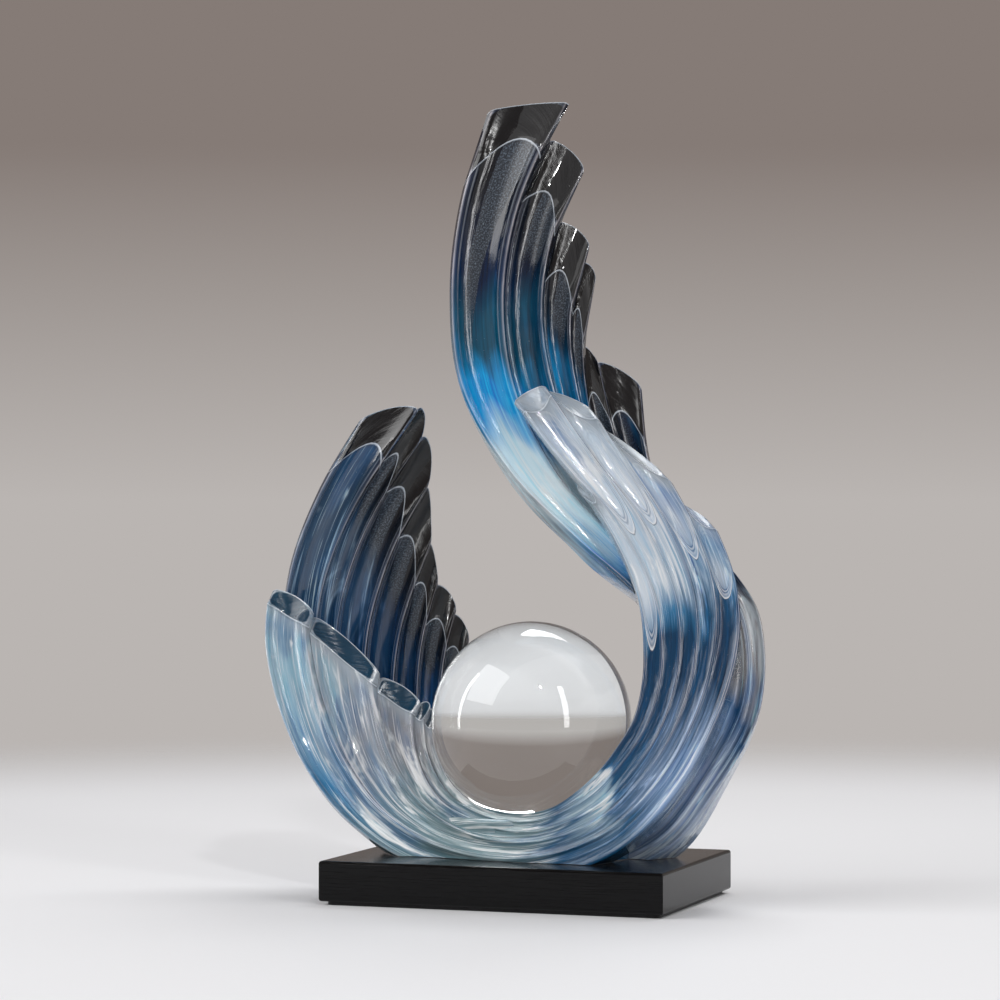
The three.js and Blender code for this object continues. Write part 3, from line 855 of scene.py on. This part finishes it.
    normal = {}
    for label, depth_mm in SURFACE_DEPTHS:
        height = {"Height": patterns[label], "Distance": depth_mm * MM}
        normal = {"Normal": add_node(tree, "Bump", height | normal)[0]}
    surface = {
        "Base Color": look[0],
        "Roughness": roughness,
        "IOR": 1.52,
        "Transmission Weight": look[1],
        "Coat Weight": 0.3,
        "Coat Roughness": 0.02,
    }
    shader = add_node(tree, "BsdfPrincipled", surface | normal)[0]
    add_node(tree, "OutputMaterial", (shader,))
    return made


def lacquer():
    """Open-grained wood under sprayed black gloss lacquer: a deep black mirror with faint pores along X."""
    made, tree = new_material("Black gloss lacquer on oak")
    where = add_node(tree, "TexCoord")["Object"]
    grain = (1 / (24 * MM), 1 / (0.9 * MM), 1 / (0.7 * MM))
    spaced = add_node(tree, "Mapping", {"Vector": where, "Scale": grain})[0]
    pores = add_node(tree, "TexNoise", {"Vector": spaced, "Scale": 1, "Detail": 3})["Fac"]
    pores = add_node(tree, "MapRange", (pores, 0.34, 0.5))[0]
    tones = ((0, linear("#0a0a0c")), (1, linear("#040405")))
    surface = {
        "Base Color": add_node(tree, "ValToRGB", (pores,), tones)[0],
        "Roughness": 0.16,
        "Specular IOR Level": 0.2,
        "Normal": add_node(tree, "Bump", {"Height": pores, "Distance": 0.03 * MM})[0],
    }
    add_node(tree, "OutputMaterial", (add_node(tree, "BsdfPrincipled", surface)[0],))
    return made


def felt():
    """Pressed wool felt dyed black: matt, with short crossing fibres drawn coarser than real to show."""
    made, tree = new_material("Black wool felt")
    where = add_node(tree, "TexCoord")["Object"]
    wool = {"Vector": where, "Scale": 1 / (0.8 * MM), "Detail": 4, "Distortion": 1.5}
    fibres = add_node(tree, "TexNoise", wool)["Fac"]
    tones = ((0.3, linear("#0c0c0d")), (0.75, linear("#2a2a2c")))
    surface = {
        "Base Color": add_node(tree, "ValToRGB", (fibres,), tones)[0],
        "Roughness": 0.95,
        "Sheen Weight": 0.4,
        "Normal": add_node(tree, "Bump", {"Height": fibres, "Distance": 0.3 * MM})[0],
    }
    add_node(tree, "OutputMaterial", (add_node(tree, "BsdfPrincipled", surface)[0],))
    return made


def zinc():
    """Turned steel with bright zinc plating: pale metal with faint turning marks."""
    made, tree = new_material("Bright zinc plate")
    where = add_node(tree, "TexCoord")["Object"]
    marks = add_node(tree, "TexNoise", {"Vector": where, "Scale": 1 / (0.4 * MM)})["Fac"]
    surface = {
        "Base Color": linear("#b9bbbd"),
        "Metallic": 1.0,
        "Roughness": add_node(tree, "MapRange", (marks, 0, 1, 0.22, 0.42))[0],
    }
    add_node(tree, "OutputMaterial", (add_node(tree, "BsdfPrincipled", surface)[0],))
    return made


def crystal():
    """Cast optical glass, ground and polished all over: clear and colourless, with a bright rim."""
    made, tree = new_material("Crystal glass")
    surface = {
        "Base Color": linear("#f8fbfb"), "Roughness": 0.0, "IOR": 1.5, "Transmission Weight": 1.0
    }
    add_node(tree, "OutputMaterial", (add_node(tree, "BsdfPrincipled", surface)[0],))
    return made


# Pieces, as operators that a user can run one by one


def a_number(name, description, default, **more):
    return bpy.props.FloatProperty(name=name, description=description, default=default, **more)


def a_colour(name, description, tone, alpha=1.0):
    return bpy.props.FloatVectorProperty(
        name=name, description=description, default=linear(tone, alpha), size=4, subtype="COLOR"
    )


def a_dye(name, description, tone, clearness):
    return a_colour(name, description + "; alpha is how clear it is", tone, clearness)


class WingShape(bpy.types.PropertyGroup):
    lip_mm: a_number("Lip height", "Height of the round lip along a feather's edge, in millimetres", 1.6)
    lip_share: a_number(
        "Lip width", "Share of a feather's width that one lip takes", 0.16, subtype="FACTOR"
    )
    channel_mm: a_number("Channel depth", "Depth of the channel between the lips, in millimetres", 4.25)
    dish_mm: a_number("Dish of the flats", "Depth of the hollow in each tip's flat, in millimetres", 1.5)
    row_spacing_mm: a_number(
        "Row spacing", "Distance between the rows of faces along a feather, in millimetres", 5
    )
    cradle_height_mm: a_number(
        "Cradle height", "Height of the bowl under the sphere, in millimetres", 22
    )
    cradle_foot_mm: a_number(
        "Cradle foot radius", "Half the length of the bowl at the plinth, in millimetres", 54
    )
    cradle_rim_mm: a_number(
        "Cradle rim radius", "Half the length of the bowl at its rim, in millimetres", 59
    )
    seat_clearance_mm: a_number(
        "Seat clearance", "Room between the sphere and its seat, in millimetres", 0.3
    )


class FrontDyes(bpy.types.PropertyGroup):
    pale: a_dye("Pale edge", "Thin blue of the left petals' outer edge", "#bcdcec", 0.4)
    clear: a_dye("Clear", "Undyed resin of the left petals", "#e4e4e8", 0.7)
    blue: a_dye("Blue", "Blue of the sides", "#3a88b8", 0.28)
    bottle: a_dye("Bottle", "Greenish blue under the sphere", "#8cb0b8", 0.5)
    lavender: a_dye("Lavender", "Greyish violet of the lower right", "#90aed4", 0.28)
    teal: a_dye("Teal", "Strong teal beside the sphere", "#0a5078", 0.14)
    deep: a_dye("Deep blue", "Deepest blue of the right side", "#053a5c", 0.1)
    milky: a_dye("Milky", "Pearly white of the clear tier", "#dfedfa", 0.36)
    pearl: a_dye("Pearl", "Pearly clouds and threads where the dye is thin", "#fbfaf6", 0.15)
    pool: a_dye("Pools", "Pools of dye between the clouds", "#1c649c", 0.3)
    tip: a_dye("Tip", "Resin close to the feather tips", "#dce6ee", 0.6)
    flat: a_dye("Tip flats", "Cut flats on the feather tips", "#0e3a52", 0.2)
    tip_reach_mm: a_number("Tip reach", "How far from a tip the tip's dye reaches, in millimetres", 12)
    flats_to: a_number("Dyed flats", "Share of the run up to which the tips' flats are dyed", 0.5)
    # Length of the longest facet's painted highlight
    facet_highlight_mm: a_number("Facets", "Length of the longest pearly facet, in millimetres", 90)


class BackDyes(bpy.types.PropertyGroup):
    haze: a_dye("Haze", "Grey-blue of the left outermost feather", "#3c5c7c", 0.36)
    blue: a_dye("Blue", "Blue of the left side", "#185688", 0.24)
    clear: a_dye("Clear", "Undyed resin at the bottom right", "#b8c8e0", 0.6)
    smoke: a_dye("Smoke", "Brownish clear resin of the right lobe", "#cac4c2", 0.75)
    deep: a_dye("Deep blue", "Deep blue of the left back feathers", "#09345a", 0.09)
    night: a_dye("Night", "Near-black blue of the feathers", "#0a2342", 0.04)
    pale: a_dye("Pale", "Pale blue of the tall wing's foot", "#6cb4e4", 0.15)
    bright: a_dye("Bright blue", "Bright blue of the tall wing", "#18a0e0", 0.12)
    teal: a_dye("Teal", "Teal of the tall wing", "#0a4e68", 0.08)
    ice: a_dye("Ice", "White-blue at the bend of the tall wing", "#def6ff", 0.15)
    black: a_dye("Black", "Black of the tall wing's tip", "#04060a", 0)
    pearl: a_dye("Pearl", "Pearly clouds and threads where the dye is thin", "#d4effc", 0.2)
    pool: a_dye("Pools", "Pools of dye between the clouds", "#1466a4", 0.15)
    tip: a_dye("Tip", "Resin close to the feather tips", "#080e18", 0.02)
    grit: a_dye("Grit", "Ground of the crumbled pigment near the tips", "#131a26", 0)
    specks: a_dye("Specks", "Crumbs of pigment near the tips", "#56626f", 0)
    flat: a_dye("Tip flats", "Cut flats on the feather tips", "#05070c", 0)
    tip_reach_mm: a_number("Tip reach", "How far from a tip the tip's dye reaches, in millimetres", 50)
    flats_to: a_number("Dyed flats", "Share of the run up to which the tips' flats are dyed", 1.1)
    grit_mm: a_number("Grit reach", "How far from a tip crumbled pigment reaches, in millimetres", 90)


class StudioLight(bpy.types.PropertyGroup):
    key_watts: a_number("Key light", "Power of the large lamp on the left", 24, unit="POWER")
    slit_watts: a_number("Slit light", "Power of the tall thin lamp on the left", 6, unit="POWER")
    strip_watts: a_number("Strip light", "Power of the tall narrow lamp on the right", 9, unit="POWER")
    glint_watts: a_number("Glint light", "Power of the small lamp on the upper right", 7, unit="POWER")
    top_watts: a_number("Top light", "Power of the lamp above and behind", 16, unit="POWER")
    floor_colour: a_colour("Floor", "Colour of the floor", "#e6e6e8")
    horizon_colour: a_colour("Horizon", "Colour of the studio at the height of the horizon", "#bab5b2")
    backdrop_colour: a_colour("Backdrop", "Colour of the studio above the horizon", "#857b76")
    room_colour: a_colour("Room", "Colour of the room's light at the horizon", "#7c7a78")
    ceiling_colour: a_colour("Ceiling", "Colour of the room's light from overhead", "#868688")


class FEATHERSCULPTURE_OT_wings(bpy.types.Operator):
    """Make both resin wings from their feathers"""

    bl_idname = "feathersculpture.wings"
    bl_label = "Make the wings"

    def execute(self, context):
        scene = context.scene
        shape = scene.feather_wings
        front = wing("wing_front", FRONT_CRESCENT, "front_wing", shape, True)
        room = crescent_body("room", FRONT_CRESCENT, shape, BOND_LINE)
        room = combine(room, "UNION", cradle(shape, BOND_LINE))
        back = wing("wing_back", BACK_CRESCENT, "back_wing", shape, False, [room])
        for made, finish, crescent, rims, dyes in (
            (front, "Clear blue-dyed", FRONT_CRESCENT, FRONT_RIM_DYES, scene.feather_front_dyes),
            (back, "Dark blue-dyed", BACK_CRESCENT, BACK_RIM_DYES, scene.feather_back_dyes),
        ):
            wear(made, resin(finish + " casting resin", crescent, rims, dyes))
        return {"FINISHED"}


class FEATHERSCULPTURE_OT_sphere(bpy.types.Operator):
    """Make the polished crystal ball"""

    bl_idname = "feathersculpture.sphere"
    bl_label = "Make the sphere"

    def execute(self, context):
        mesh = bmesh.new()
        bmesh.ops.create_uvsphere(mesh, u_segments=192, v_segments=96, radius=SPHERE_RADIUS)
        bmesh.ops.translate(mesh, vec=SPHERE_CENTRE, verts=mesh.verts)
        for face in mesh.faces:
            face.smooth = True
        ball = as_object("crystal_ball", mesh)
        wear(ball, crystal())
        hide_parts("glass_sphere")
        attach(ball, "sphere")
        return {"FINISHED"}


class FEATHERSCULPTURE_OT_plinth(bpy.types.Operator):
    """Give the plinth, its felt and its screws their finishes"""

    bl_idname = "feathersculpture.plinth"
    bl_label = "Finish the plinth"

    def execute(self, context):
        plating = zinc()
        for node, material in (
            ("plinth", lacquer()),
            ("base_felt", felt()),
            ("screw_front_left", plating),
            ("screw_front_right", plating),
            ("screw_back", plating),
        ):
            wear(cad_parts[node], material)
        return {"FINISHED"}


class FEATHERSCULPTURE_OT_studio(bpy.types.Operator):
    """Set the camera, floor, backdrop and soft studio light"""

    bl_idname = "feathersculpture.studio"
    bl_label = "Set the studio"

    def execute(self, context):
        scene = context.scene
        light = scene.feather_studio
        camera = bpy.data.objects.new("camera", bpy.data.cameras.new("camera"))
        scene.collection.objects.link(camera)
        camera.location = CAMERA_PLACE
        camera.rotation_euler = (math.radians(90), 0, math.radians(CAMERA_TURN))
        camera.data.lens = CAMERA_LENS
        camera.data.sensor_width = 36
        scene.camera = camera

        # The floor keeps the shadow, and thins out into the backdrop
        mesh = bmesh.new()
        bmesh.ops.create_circle(mesh, cap_ends=True, segments=128, radius=FLOOR_RADIUS)
        floor = as_object("floor", mesh)
        made, tree = new_material("Pale floor")
        where = add_node(tree, "TexCoord")["Object"]
        away = add_node(tree, "VectorMath", (where,), operation="LENGTH")["Value"]
        surface = {
            "Base Color": light.floor_colour,
            "Roughness": 0.6,
            "Alpha": add_node(tree, "MapRange", (away, *FLOOR_FADE), **SOFT)[0],
        }
        add_node(tree, "OutputMaterial", (add_node(tree, "BsdfPrincipled", surface)[0],))
        wear(floor, made)

        for name, (place, size) in LAMPS.items():
            lamp = bpy.data.objects.new(name, bpy.data.lights.new(name, "AREA"))
            lamp.data.energy = getattr(light, name + "_watts")
            lamp.data.shape = "RECTANGLE"
            lamp.data.size, lamp.data.size_y = size
            lamp.location = place
            lamp.rotation_euler = (LAMPS_AIM - lamp.location).to_track_quat("-Z", "Y").to_euler()
            scene.collection.objects.link(lamp)

        # The backdrop is what the eye, gloss and glass see, and the room is what lights the object
        world = bpy.data.worlds.new("studio")
        world.use_nodes = True
        tree = world.node_tree
        tree.nodes.clear()
        where = add_node(tree, "TexCoord")["Generated"]
        height = add_node(tree, "SeparateXYZ", (where,))["Z"]
        room, backdrop = (
            add_node(tree, "ValToRGB", (height,), ((0, low), (reach, high)))[0]
            for low, high, reach in (
                (light.room_colour, light.ceiling_colour, 1),
                (light.horizon_colour, light.backdrop_colour, BACKDROP_REACH),
            )
        )
        ray = add_node(tree, "LightPath")
        seen = ray["Is Camera Ray"]
        for kind in ("Is Glossy Ray", "Is Transmission Ray"):
            seen = add_node(tree, "Math", (seen, ray[kind]), operation="MAXIMUM")[0]
        colours = {MIX_FACTOR: seen, MIX_FROM: room, MIX_TO: backdrop}
        around = add_node(tree, "Mix", colours, data_type="RGBA")[MIX_RESULT]
        add_node(tree, "OutputWorld", (add_node(tree, "Background", (around,))[0],))
        scene.world = world
        scene.view_settings.view_transform = "Standard"
        return {"FINISHED"}


class FEATHERSCULPTURE_PT_panel(bpy.types.Panel):
    """The sidebar panel that lists the pieces and their settings"""

    bl_label = "Feather sculpture"
    bl_idname = "FEATHERSCULPTURE_PT_panel"
    bl_space_type = "VIEW_3D"
    bl_region_type = "UI"
    bl_category = "Feather sculpture"

    def draw(self, context):
        column = self.layout.column()
        for group in SETTINGS:
            for key in SETTINGS[group].__annotations__:
                column.prop(getattr(context.scene, group), key)
        for step in STEPS:
            column.operator(step.bl_idname)


SETTINGS = {
    "feather_wings": WingShape,
    "feather_front_dyes": FrontDyes,
    "feather_back_dyes": BackDyes,
    "feather_studio": StudioLight,
}
STEPS = (
    FEATHERSCULPTURE_OT_wings,
    FEATHERSCULPTURE_OT_sphere,
    FEATHERSCULPTURE_OT_plinth,
    FEATHERSCULPTURE_OT_studio,
)
CLASSES = (*SETTINGS.values(), *STEPS, FEATHERSCULPTURE_PT_panel)


def register():
    for made in CLASSES:
        bpy.utils.register_class(made)
    for name, group in SETTINGS.items():
        setattr(bpy.types.Scene, name, bpy.props.PointerProperty(type=group))


def unregister():
    for name in SETTINGS:
        delattr(bpy.types.Scene, name)
    for made in reversed(CLASSES):
        bpy.utils.unregister_class(made)


def main():
    register()
    bpy.ops.feathersculpture.wings()
    bpy.ops.feathersculpture.sphere()
    bpy.ops.feathersculpture.plinth()
    bpy.ops.feathersculpture.studio()
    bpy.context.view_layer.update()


if __name__ == "__main__":
    main()
